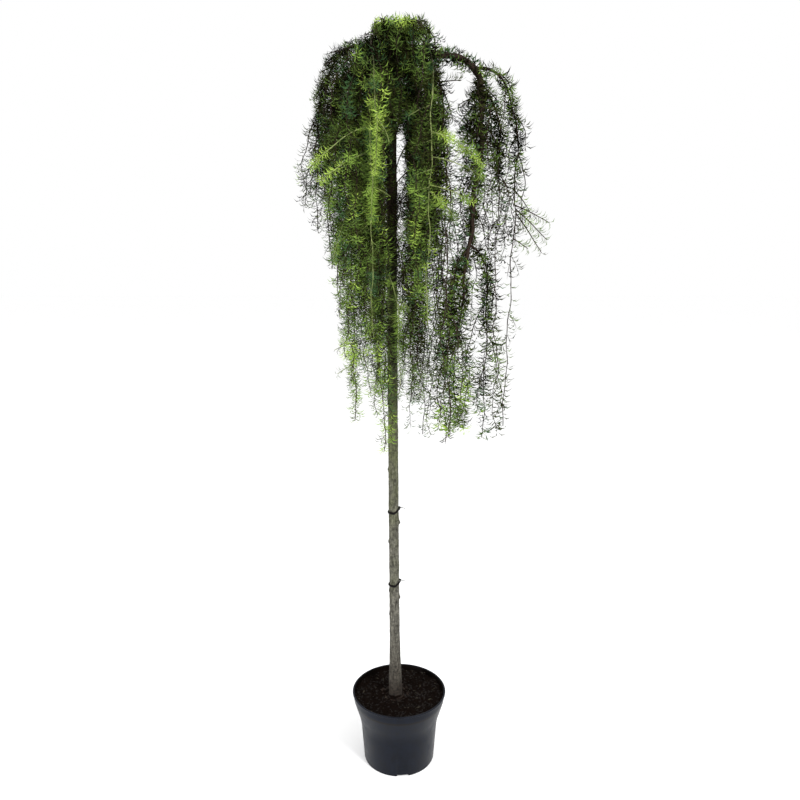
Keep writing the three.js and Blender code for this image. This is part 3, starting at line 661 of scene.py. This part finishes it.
# longest, spread and phase are the source's: the longest side shoot, the share of it on the upper,
# middle and lower part, and the side of the first in degrees. strands: number of hanging shoots.
# until: how far along the bough the last one starts. hang: how far they hang towards its tip.
# spray: gap between side sprays. leafy: share of the needles on the upper, middle and lower part.
# mix: how the tones of green are dealt out on the upper, middle and lower part.
COLUMNS = ["longest", "spread", "phase", "strands", "until", "hang", "spray", "leafy", "mix"]
FOLIAGE = {
    "right": (120, (1, 1, 0.5), 0, 13, 0.55, 0.45, 10, (0.95, 0.29, 0.3), "shade dusk dusk"),
    "left": (135, (0.6, 0.8, 0.6), 300, 20, 0.75, 1, 15, (1, 0.7, 0.5), "dusk shade shade"),
    "left_back": (140, (0.7, 0.7, 0.5), 200, 20, 0.5, 0.5, 15, (1, 0.8, 0.15), "dusk dusk shade"),
    "left_front": (150, (0.8, 0.7, 0.4), 40, 22, 0.8, 0.9, 15, (1, 1, 1), "shade meadow spring"),
    "front_left": (150, (0.6, 0.9, 0.5), 150, 18, 0.8, 1, 16, (1, 1, 1), "dusk spring shade"),
    "front": (100, (0.8, 0.7, 0.5), 20, 20, 0.8, 1, 17, (1, 0.75, 1), "dusk shade spring"),
    "front_right": (160, (0.4, 0.9, 0.5), 300, 16, 0.8, 1, 16, (1, 0.9, 0.75), "shade shade spring"),
    "right_front": (120, (0.4, 0.9, 0.5), 250, 9, 0.75, 1.15, 18, (1.25, 0.29, 0.36), "dusk shade meadow"),
    "right_back": (140, (0.5, 0.8, 0.6), 100, 9, 0.75, 1.15, 18, (1.25, 0.34, 0.45), "dusk shade meadow"),
    "back_right": (140, (0.8, 0.8, 0.5), 330, 12, 0.75, 1.15, 18, (1.3, 0.42, 0.42), "dusk shade meadow"),
    "back": (140, (0.8, 0.8, 0.5), 60, 22, 0.8, 1, 18, (1, 0.9, 0.8), "dusk shade meadow"),
    "back_left": (140, (0.8, 0.8, 0.5), 180, 20, 0.7, 0.7, 17, (1, 0.8, 0.45), "dusk shade shade"),
    "inner_left": (90, (1, 0.8, 0.6), 0, 10, 0.8, 1, 20, (1, 0.8, 0.7), "dusk dusk dusk"),
    "inner_front": (90, (1, 0.8, 0.6), 120, 25, 0.8, 1.3, 20, (1, 1, 1), "dusk dusk shade"),
    "inner_right": (110, (1, 0.8, 0.6), 240, 14, 0.4, 0.6, 20, (1, 0.8, 0.2), "dusk dusk dusk"),
    "inner_back": (90, (1, 0.8, 0.6), 60, 10, 0.8, 1, 20, (1, 0.8, 0.7), "dusk dusk dusk"),
    "far_right": (212, (0.3, 0.62, 0.12), 266, 8, 0.4, 0.3, 20, (0.56, 0.33, 0.46), "shade shade shade"),
    "right_shoulder": (90, (0.6, 1, 0.5), 0, 4, 0.7, 0.7, 20, (0.62, 0.35, 0.35), "dusk dusk dusk"),
    "right_fork_outer": (110, (1, 1, 0.5), 200, 5, 0.75, 1.1, 22, (0.5, 0.5, 0.6), "dusk shade shade"),
    "right_fork_inner": (110, (1, 1, 0.5), 90, 6, 0.75, 1.4, 22, (0.55, 0.75, 0.95), "dusk shade meadow"),
}
# The old wood at the right, thinly leaved in whorls: how much larger than the rest its needles are.
OLD_WOOD = {
    "right": 1.15, "right_front": 1.12, "right_back": 1.12, "back_right": 1.1,
    "far_right": 1.14, "right_shoulder": 1.12, "right_fork_outer": 1.2, "right_fork_inner": 1.2,
}
COARSE = np.array([OLD_WOOD.get(name, 1.0) for name in GROWTHS])
STRAND_ANGLE, SPRAY_ANGLE = np.radians(54), np.radians(52)
STRAND_BEND, SPRAY_BEND = 0.42, 0.7
STRAND_WANDER, SPRAY_WANDER, LATERAL_WANDER = 7.0, 2.0, 2.5
SHORTEST_STRAND, LONGEST_STRAND = 60, 480
TOPS = stems.places[..., 2].max(axis=1)


def column(key):
    """One column of the foliage table, in the order of the growths."""
    return np.array([FOLIAGE[name][COLUMNS.index(key)] for name in GROWTHS])


def by_height(growth, place, low, middle, high):
    """A value that goes from high to middle over a bough's upper half, and on to low at its tip."""
    share = np.clip((TOPS[growth] - place[..., 2]) / (TOPS[growth] - TIPS[growth]), 0, 1)
    upper = high + (middle - high) * np.minimum(2 * share, 1)
    return upper + (low - middle) * np.maximum(2 * share - 1, 0)


def side_reach(growth, place):
    """How long the source lets a side shoot be at a place on a bough."""
    high, middle, low = (column("longest")[:, None] * column("spread"))[growth].T
    return by_height(growth, place, low, middle, high)


def leafiness(growth, place):
    """Share of the needles, and on old wood of the side sprays, that grow at a place on a bough."""
    high, middle, low = column("leafy")[growth].T
    return by_height(growth, place, low, middle, high)


def numbered(counts):
    """For so many things on each of many shoots, the shoot of each one and its number on it."""
    which = np.repeat(np.arange(len(counts)), counts)
    return which, np.arange(len(which)) - np.repeat(np.cumsum(counts) - counts, counts)


def spots(length, spacing, foot):
    """Evenly spaced places on many shoots from `foot` on: shoot, distance along it, and its number."""
    counts = (np.maximum(length - foot, 0) / spacing).astype(int)
    which, order = numbered(counts)
    gap = np.repeat(spacing + 0 * length, counts)
    distance = np.repeat(foot + 0 * length, counts) + (order + 0.5) * gap
    return which, distance, order


# Openings in the crown as they show from in front, in the plane of the stem: x and z from and to,
# the y up to which the crown is open, and the share that still grows there. They are before the
# stem, right of it, under the right arch, outside the upper and lower left, and beside the dome.
OPENINGS = [
    (-36, -8, 1560, 1850, -10, 0.3), (-36, -8, 1430, 1560, -10, 0.6), (-6, 13, 1800, 1850, 400, 0.22),
    (-8, 18, 1735, 1800, 400, 0.14), (-6, 10, 1680, 1735, 400, 0.38), (120, 190, 1925, 1988, 400, 0.12),
    (-340, -246, 1800, 1880, 400, 0.15), (-340, -228, 1880, 2015, 400, 0.12),
    (-340, -192, 2015, 2050, 400, 0.12), (-340, -172, 2050, 2084, 400, 0.12),
    (-320, -172, 900, 1500, 400, 0.18), (-150, -68, 2084, 2200, 400, 0.05),
    (24, 150, 2140, 2200, 400, 0.1),
]
# The crown's furthest y.
BACK = 215.0


def grown(places, roll):
    """Whether a roll from 0 to 1 lets something grow at places: not in an opening, as the eye sees the
    stem's plane, but for its share. Noise frays an opening's edges by up to 10 mm and 20 mm."""
    seen = EYE + (places - EYE) * (EYE[1] / (EYE[1] - places[..., 1:2]))
    x = seen[..., 0] + 20 * lumps(places, 22, 8) - 10
    z = seen[..., 2] + 40 * lumps(places, 30, 9) - 20
    share = np.ones(x.shape)
    for left, right, low, high, back, part in OPENINGS:
        inside = (x > left) & (x < right) & (z > low) & (z < high) & (places[..., 1] < back)
        share = np.where(inside, part, share)
    return (roll < share) & (places[..., 1] < BACK)


def sprout(parents, which, distance, turn, angle, bend, length, amount, seed):
    """Side shoots: each leaves its parent at an angle, turned about it but never steeply upwards, and
    weeps and wanders for its length, or as far as an opening or its bough's lowest shoot."""
    place, way = along(parents, which, distance)
    out = across(parents, which, way, turn)
    first = between(way, out, angle)
    first[:, 2] = np.minimum(first[:, 2], 0.2)
    first = unit(first)
    steps = int(np.ceil(length.max() / SHOOT_STEP)) + 1
    places, _ = weep(place, first, DOWN, bend + 0 * length, 0 * length, steps, SHOOT_STEP)
    places = wander(places, SHOOT_STEP, amount, seed)
    growth = parents.growth[which]
    roll = chance(which, distance)
    stopped = (places[..., 2] < TIPS[growth][:, None]) | ~grown(places, roll[:, None])
    stopped[:, 0], stopped[:, -1] = False, True
    above = np.argmax(stopped, axis=1) - 1
    level = np.cross(DOWN, first)
    side = unit(np.where(np.linalg.norm(level, axis=1, keepdims=True) > 0.02, level, out))
    ways = unit(np.gradient(places, axis=1))
    return Shoots(places, ways, side, np.clip(above * SHOOT_STEP, 1, length), growth, roll)


YOUNG_ARCH, RIGHT_ARCH = 1985.0, 1960.0


def kept_behind(turn, growth, place):
    """A turn about a bough, kept off the front of those whose stems show: on the two young ones it is
    folded onto the inner side below the arch, and on the long right one drawn together on the sides
    and the back."""
    turn = np.where(YOUNG[growth] & (place[..., 2] < YOUNG_ARCH), turn % np.pi, turn)
    open_front = np.where(place[..., 2] > RIGHT_ARCH, 0.15, 0.32)
    drawn = open_front * np.pi + (1 - open_front) * (turn % (2 * np.pi))
    return np.where(growth == GROWTHS.index("right"), drawn, turn)


strand_count = column("strands")
strand_growth, order = numbered(strand_count)
share = (order + 0.3) / strand_count[strand_growth]
first_at = np.minimum(0.6 * bare, 240)[strand_growth]
last_at = (column("until") * stem_length)[strand_growth]
strand_at = first_at + share**1.1 * (last_at - first_at)
place, _ = along(stems, strand_growth, strand_at)
strand_hang = column("hang")[strand_growth] * (0.4 + 0.6 * chance(strand_growth + 3, order))
strand_length = (place[:, 2] - TIPS[strand_growth]) * strand_hang
strand_length = np.clip(strand_length, SHORTEST_STRAND, LONGEST_STRAND)
strand_bend = np.maximum(STRAND_BEND * side_reach(strand_growth, place), 10)
turn = kept_behind(GOLDEN * order + np.radians(column("phase"))[strand_growth], strand_growth, place)
strands = sprout(stems, strand_growth, strand_at, turn, STRAND_ANGLE, strand_bend, strand_length,
                 STRAND_WANDER, 50)

sprays = []
SPRAYS = [  # what the sprays grow on, its foot without them, and their share of the mass's side reach
    (stems, np.minimum(0.5 * bare, 60) + 20, 0.7),
    (strands, 15.0, 0.42),
]
for parents, foot, reach in SPRAYS:
    which, distance, order = spots(parents.length, column("spray").astype(float)[parents.growth], foot)
    place, _ = along(parents, which, distance)
    growth = parents.growth[which]
    kept = (COARSE[growth] == 1) | (chance(which + 13, order) < leafiness(growth, place))
    which, distance, order, place, growth = (v[kept] for v in (which, distance, order, place, growth))
    length = reach * side_reach(growth, place) * (0.45 + 0.55 * chance(which + 7, order))
    turn = GOLDEN * order + which
    if parents is stems:
        length = np.where(distance < np.minimum(bare[which], 210), 0.45, 1) * length
        turn = kept_behind(turn, growth, place)
    length = np.maximum(length * (1 - 0.3 * distance / parents.length[which]), 12)
    bend = SPRAY_BEND * length + 20
    sprays.append(sprout(parents, which, distance, turn, SPRAY_ANGLE, bend, length, SPRAY_WANDER, 60))

# Single shoots that stand out. On new wood they are this year's pale leaders and stiff laterals,
# bare near their feet; on old wood dark shoots beside the stem, under the right arch and at the top
# left, and thin twigs at the far right.
LATERAL_STEPS = 120
# Bough, then for each height on it, azimuth, pitch, length, how stiffly it bends, and mix of greens.
GROUPS = [
    ("front_left", [
        (2030, 284, -30, 325, 60, "fresh"), (1900, 280, -50, 590, 60, "meadow"),
        (1890, 292, -60, 260, 60, "fresh"), (1849, 206, -20, 195, 300, "fresh"),
        (1782, 206, -16, 160, 300, "fresh"), (1702, 215, -40, 60, 260, "fresh"),
        (1702, 335, -20, 70, 260, "spring"), (1900, 300, -35, 150, 260, "meadow"),
        (1610, 200, -35, 60, 260, "spring"),
    ]),
    ("front_right", [
        (1830, 342, -12, 165, 200, "fresh"), (1772, 344, -8, 145, 260, "spring"),
        (1700, 340, -8, 130, 260, "fresh"), (1690, 330, -30, 110, 200, "fresh"),
        (1810, 205, -15, 60, 260, "spring"), (1742, 208, -15, 65, 260, "spring"),
        (1697, 200, -12, 65, 260, "spring"), (1893, 208, -18, 75, 260, "meadow"),
    ]),
    ("front", [
        (1500, 335, -45, 330, 60, "meadow"), (1420, 345, -15, 75, 260, "spring"),
        (1375, 345, -20, 70, 260, "spring"),
    ]),
    ("right", [
        (1950, 195, -25, 75, 150, "dusk"), (1925, 175, -30, 85, 150, "dusk"),
        (1895, 200, -30, 80, 150, "dusk"), (1870, 330, -40, 80, 150, "dusk"),
        (1965, 340, -35, 70, 150, "dusk"),
    ]),
    ("inner_front", [
        (1820, 190, -35, 110, 60, "dusk"), (1745, 180, -25, 80, 80, "shade"),
        (1690, 192, -30, 100, 60, "dusk"), (1610, 185, -30, 100, 60, "shade"),
    ]),
    ("right", [
        (1940, 185, -10, 70, 150, "dusk"), (1910, 182, -38, 95, 150, "dusk"),
        (1880, 178, -40, 90, 150, "dusk"), (1850, 185, -40, 80, 150, "dusk"),
    ]),
    ("left_front", [(1300, 185, -15, 55, 260, "meadow"), (1240, 182, -25, 50, 260, "spring")]),
    ("far_right", [(1575, 350, -30, 50, 400, "shade")]),
    ("left_front", [(1590, 215, -40, 85, 120, "spring"), (1640, 235, -45, 140, 120, "meadow")]),
    ("left", [
        (2045, 230, 0, 50, 90, "dusk"), (2035, 150, 0, 50, 90, "dusk"), (2020, 250, -10, 70, 150, "dusk"),
        (2008, 190, -20, 35, 150, "dusk"), (1990, 255, -25, 75, 150, "dusk"),
        (1970, 150, -30, 60, 150, "dusk"),
    ]),
    ("right_front", [(1962, 5, 8, 60, 900, "dusk"), (1958, 0, -55, 95, 80, "dusk")]),
    ("far_right", [
        (1660, 352, -20, 105, 400, "shade"), (1650, 350, -38, 120, 400, "shade"),
        (1640, 345, -52, 130, 400, "shade"), (1700, 355, -48, 70, 400, "shade"),
    ]),
]
LATERALS = [(bough, *row) for bough, rows in GROUPS for row in rows]
lateral_growth = np.array([GROWTHS.index(row[0]) for row in LATERALS])
height, azimuth, pitch, length, bend = np.array([row[1:6] for row in LATERALS], dtype=float).T
# Where the bough hangs at that height; its first steps, which rise and arch over, are passed by.
on_arch = np.arange(stems.places.shape[1]) < 20
off_height = np.abs(stems.places[lateral_growth][..., 2] - height[:, None]) + 500 * on_arch
place = stems.places[lateral_growth, np.argmin(off_height, axis=1)]
first = heading(azimuth, pitch)
places, _ = weep(place, first, DOWN, bend, 0 * length, LATERAL_STEPS, SHOOT_STEP)
places = wander(places, SHOOT_STEP, LATERAL_WANDER, 80)
ways = unit(np.gradient(places, axis=1))
laterals = Shoots(places, ways, unit(np.cross(DOWN, first)), length, lateral_growth, 0 * length)
STIFF_BEND = 200
LATERAL_SPRAY, LATERAL_SPRAY_GAP, LATERAL_SPRAY_BEND = 38, 34.0, 120.0
new_wood = COARSE[lateral_growth] == 1
stiff = new_wood & (bend > STIFF_BEND)
lateral_foot = np.where(stiff, 0.6 * length, 25.0)
spray_lateral, distance, order = spots(laterals.length * new_wood, LATERAL_SPRAY_GAP, lateral_foot)
share = distance / laterals.length[spray_lateral]
length = LATERAL_SPRAY * (1 - 0.5 * share) * (0.5 + 0.5 * chance(spray_lateral + 11, order))
lateral_sprays = sprout(laterals, spray_lateral, distance, GOLDEN * order, SPRAY_ANGLE,
                        LATERAL_SPRAY_BEND, length, SPRAY_WANDER, 70)

# The tuft on the graft, whose short shoots rise and spread over the roots of the boughs, further to
# the right, and short shoots round the stem below it that fill the crown's core.
TUFT, CORE = 90, 115
SWAY, TUFT_RISE = 0.3, 39.0
TUFT_BEND, CORE_BEND = 150.0, 70.0
CORE_LOW, CORE_SPAN = 1935, 150
TUFT_STEPS = 26
i = np.arange(TUFT + CORE)
in_core = i >= TUFT
turn = GOLDEN * i
reach = np.sqrt((i + 0.5) / TUFT)
length = np.where(in_core, 70 + 50 * chance(i, 6), (30 + 50 * reach) * (1 + SWAY * np.cos(turn)))
pitch = np.degrees(np.arcsin(np.minimum(TUFT_RISE / length, 0.95))) + 10 * reach
pitch = np.where(in_core, 32 - 45 * chance(i, 7), pitch)
start = trunk_centre(np.where(in_core, CORE_LOW + CORE_SPAN * chance(i, 8) ** 0.7, TRUNK_TIP - 13))
start = start + 10 * np.stack([np.cos(turn), np.sin(turn), 0 * turn], axis=-1)
first = heading(np.degrees(turn), pitch)
bend = np.where(in_core, CORE_BEND, TUFT_BEND)
places, ways = weep(start, first, DOWN, bend, 0 * length, TUFT_STEPS, SHOOT_STEP)
tuft = Shoots(places, ways, unit(np.cross(DOWN, first)), length, np.zeros(len(i), dtype=int), 0 * length)


def taper(first, last):
    """A radius that falls from first to last, drawn to a point at the end."""
    return lambda which, share: (first + (last - first) * share) * np.where(share >= 1, 0.1, 1)


dark = np.array([row[6] in ("dusk", "shade") for row in LATERALS])
dark_laterals, pale_laterals = (Shoots(*(part[kind] for part in laterals)) for kind in (dark, ~dark))

TWIGS = {  # shoots with their rings and sides, first and last radius; bark; nodes replaced; slot
    "brown_twigs": ([(strands, 22, 3, 1.7, 0.8), (sprays[0], 4, 3, 1, 0.5), (sprays[1], 4, 3, 0.9, 0.5),
                     (dark_laterals, 40, 5, 2.0, 1.0)],
                    brown_bark, ["foliage_" + name for name in GROWTHS], "foliage"),
    "green_twigs": ([(pale_laterals, 40, 5, 1.6, 0.8), (lateral_sprays, 5, 3, 0.9, 0.5)],
                    green_bark, [], "fresh_foliage"),
    "tuft_twigs": ([(tuft, 8, 4, 1.7, 0.9)], brown_bark, ["foliage_head"], "foliage"),
}
for piece_name, (groups, material, nodes, slot) in TWIGS.items():
    points, faces, count = [], [], 0
    for shoots, rings, sides, first, last in groups:
        tube_points, _, tube_faces = tubes(shoots, rings, sides, taper(first, last))
        points.append(tube_points.reshape(-1, 3))
        faces.append(tube_faces + count)
        count += len(points[-1])
    twigs = make_mesh(piece_name, np.concatenate(points), np.concatenate(faces), material)
    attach(twigs, "root")
    if nodes:
        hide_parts(*nodes)


# Needles: soft flat needles up to about 30 mm long and wider than life, single on the new shoots and
# in rosettes on the spurs of old wood. Each stretch of a shoot takes one of six plain greens: a near black
# that is painted shade, then old olive and other greens up to fresh.
TONES = {
    "painted_shade_needles": "#080a01", "olive_needles": "#313817", "green_needles": "#546a30",
    "blue_needles": "#3a5534", "bright_needles": "#76923f", "fresh_needles": "#9cb650",
}
# The dusk (deep shade) mix, mostly near-black and olive needles, is painted shade, dealt to the inner boughs
# and to the shaded parts of the others; the shade mix is a milder painted shade.
MIXES = {  # shares of the tones above
    "dusk": (6, 3.4, 1.6, 0.8, 0.15, 0),
    "shade": (3, 4, 3, 1.4, 0.4, 0),
    "meadow": (1, 2, 5, 1.4, 2, 0.3),
    "spring": (0, 1, 3, 0.8, 4, 2),
    "fresh": (0, 0, 0.5, 0, 3, 5),
    "tuft": (0.2, 4, 1, 0, 4, 7),
}
NEEDLE_LENGTH = 30.0
NEEDLE_WIDTH, LATERAL_WIDTH = 2.3, 1.7
NEEDLE_CURL = 0.65
WHORL = 11.0
STRETCH = 60.0
LAST_YEAR_ABOVE = 1900


def dealt(weights, roll):
    """The tone whose slice of the summed weights holds each roll from 0 to 1."""
    edges = np.cumsum(weights, axis=-1)
    return (roll[:, None] * edges[:, -1:] > edges).sum(axis=-1)


def needles(base, way, out, length, width, lean, seed):
    """Needles as two triangles each: a base point, two points across the middle and a tip. The lower
    half leaves the shoot at `lean` to it, and the tip half turns outwards and up."""
    count = np.arange(len(base))
    swing = lean + 0.25 * (chance(count, seed) - 0.5)
    low = between(way, out, swing)
    high = unit(between(way, out, swing + NEEDLE_CURL) - 0.2 * DOWN)
    middle = base + low * (0.5 * length)[:, None]
    tip = middle + high * (0.5 * length)[:, None]
    flat = unit(np.cross(low, way))
    twist = np.pi * chance(count, seed + 1)
    blade = between(flat, np.cross(low, flat), twist)
    half = (0.5 * width + 0 * length)[:, None] * blade
    return np.stack([base, middle - half, middle + half, tip], axis=1)


mixes = np.array([[MIXES[mix] for mix in row.split()] for row in column("mix")])
lateral_mixes = np.array([MIXES[row[6]] for row in LATERALS])
all_needles, all_tones = [], []
SETS = [  # shoots, gap between needles, bare foot, lean in degrees, and own mix for each shoot, if any
    (stems, 2.0, 20.0, 68, None),
    (strands, 1.8, 8.0, 62, None),
    (sprays[0], 1.8, 3.0, 58, None),
    (sprays[1], 1.8, 3.0, 58, None),
    (laterals, 0.9, 12.0, 50, lateral_mixes),
    (lateral_sprays, 1.2, 3.0, 50, lateral_mixes[spray_lateral]),
]
for seed, (shoots, gap, foot, lean, own_mix) in enumerate(SETS):
    which, distance, order = spots(shoots.length, gap, foot)
    growth = shoots.growth[which]
    coarse = COARSE[growth]
    whorl = WHORL * np.round(distance / WHORL) + 8 * (chance(order + 61, which) - 0.5)
    whorl = np.clip(whorl, 1, shoots.length[which])
    distance = np.where((coarse > 1) & (own_mix is None), whorl, distance)
    base, way = along(shoots, which, distance)
    kept = chance(np.arange(len(which)), seed) < leafiness(growth, base)
    kept |= (own_mix is not None) & (coarse == 1)
    turn = GOLDEN * order + 0.6 * chance(order, which)
    if shoots is stems:
        kept &= (coarse == 1) | (distance > bare[growth])
        showing = YOUNG[growth] & (chance(order + 71, which) < 0.5)
        turn = np.where(showing, turn, kept_behind(turn, growth, base))
    elif shoots is laterals:
        share = distance / laterals.length[which]
        kept &= ~stiff[which] | (chance(order + 81, which) < 0.08 + 1.3 * share**3)
    out = across(shoots, which, way, turn)
    roll = shoots.roll[which] if own_mix is None else chance(order, which + 2)
    kept &= grown(base + 0.5 * NEEDLE_LENGTH * out, roll)
    which, distance, order, base, way, out, growth, coarse = (
        v[kept] for v in (which, distance, order, base, way, out, growth, coarse))
    length = NEEDLE_LENGTH * coarse**2 * (0.65 + 0.4 * chance(order + 5, which))
    length = length * (1 - 0.25 * distance / shoots.length[which])
    width = np.where(own_mix is None, NEEDLE_WIDTH, LATERAL_WIDTH) * coarse**2.6
    all_needles.append(needles(base, way, out, length, width, np.radians(lean), 10 * seed))
    # One tone for a stretch of shoot, from the mix for about its height on the bough.
    stretch = np.floor(distance / STRETCH)
    level = by_height(growth, base, 2.6, 1.5, 0.3) + 0.9 * (chance(which + 31, stretch + seed) - 0.5)
    level = np.clip(level, 0, 2).astype(int)
    weights = mixes[growth, level]
    if own_mix is not None:
        old = (base[:, 2:] > LAST_YEAR_ABOVE) & (own_mix[which, :1] == 0)
        weights = np.where(old, MIXES["meadow"], own_mix[which])
    elif shoots is stems:
        weights[YOUNG[growth] & (level == 1)] = MIXES["spring"]
    all_tones.append(dealt(weights, chance(which + 17, stretch + 3 * seed)))

# Rosettes on old wood: about a dozen needles round each spur, every other one on the upper side. Those on the
# lower side take the dusk (deep shade) mix, as painted shade under the boughs.
ROSETTE, ROSETTE_LENGTH, ROSETTE_LEAN = 13, 24, np.radians(44)
OLD_SPUR_GAP, SPUR_GAP, SPUR_RUN = 8.0, 6.0, 250
spur_gap = np.where(COARSE > 1, OLD_SPUR_GAP, SPUR_GAP)
which, distance, order = spots(np.minimum(stem_length, bare + SPUR_RUN), spur_gap, 30.0)
place, way = along(stems, which, distance)
axis = across(stems, which, way, kept_behind(GOLDEN * order, which, place))
spur = place + axis * stem_radius(which, distance)[:, None]
upper = order % 2 == 1
axis = unit(axis - np.where(upper, 0.5, -0.3)[:, None] * DOWN)
spur, axis, tangent = (np.repeat(v, ROSETTE, axis=0) for v in (spur, axis, unit(np.cross(axis, way))))
each = np.arange(len(spur))
out = between(tangent, np.cross(axis, tangent), GOLDEN * each)
coarse = np.repeat(COARSE[which], ROSETTE)
length = ROSETTE_LENGTH * coarse * (0.7 + 0.4 * chance(each, 91))
weights = np.where(upper[:, None], mixes[which, 0], MIXES["dusk"])
tones = np.repeat(dealt(weights, chance(which + 41, order)), ROSETTE)
kept = grown(spur + 15 * axis, chance(each // ROSETTE, 92))
blades = needles(spur, axis, out, length, NEEDLE_WIDTH * coarse**2, ROSETTE_LEAN, 90)
all_needles.append(blades[kept])
all_tones.append(tones[kept])

# The tuft's needles stand more upright and are shorter. Most needles on its top, as painted light, and on its
# left take the light tuft greens, and so do half of the others; the rest, and all the core's needles, take
# the dusk (deep shade) greens, as painted shade.
TUFT_LENGTH, CORE_LENGTH, TUFT_LEAN = 21, 26, np.radians(62)
TUFT_GAP, SUNNY_ABOVE = 1.35, 2088
which, distance, order = spots(tuft.length, TUFT_GAP, 4.0)
base, way = along(tuft, which, distance)
out = across(tuft, which, way, GOLDEN * order)
length = np.where(in_core[which], CORE_LENGTH, TUFT_LENGTH) * (0.7 + 0.4 * chance(order, which))
sunny = (np.abs(np.cos(GOLDEN * which)) > 0.35) & (distance > 18) & (base[:, 2] > SUNNY_ABOVE)
leftward = np.cos(GOLDEN * which) < -0.3
lighter = (chance(which, 3) < np.where(sunny | leftward, 0.95, 0.5)) & ~in_core[which]
weights = np.where(lighter[:, None], MIXES["tuft"], MIXES["dusk"])
tones = dealt(weights, chance(which + 5, np.floor(distance / 40)))
kept = grown(base + 0.5 * length[:, None] * out, chance(which, order))
all_needles.append(needles(base, way, out, length, NEEDLE_WIDTH, TUFT_LEAN, 70)[kept])
all_tones.append(tones[kept])

needle_points = np.concatenate(all_needles)
needle_tones = np.concatenate(all_tones)
for tone, (tone_name, colour) in enumerate(TONES.items()):
    points = needle_points[needle_tones == tone]
    faces = np.array([[0, 1, 2], [1, 3, 2]])[None] + 4 * np.arange(len(points))[:, None, None]
    green, tree, shader = new_material(tone_name.replace("_", " "), 0.5, 1.4, 0.04)
    wire(tree, shader, {"Base Color": linear(colour)})
    foliage = make_mesh(tone_name, points.reshape(-1, 3), faces.reshape(-1, 3), green, smooth=False)
    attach(foliage, "root")
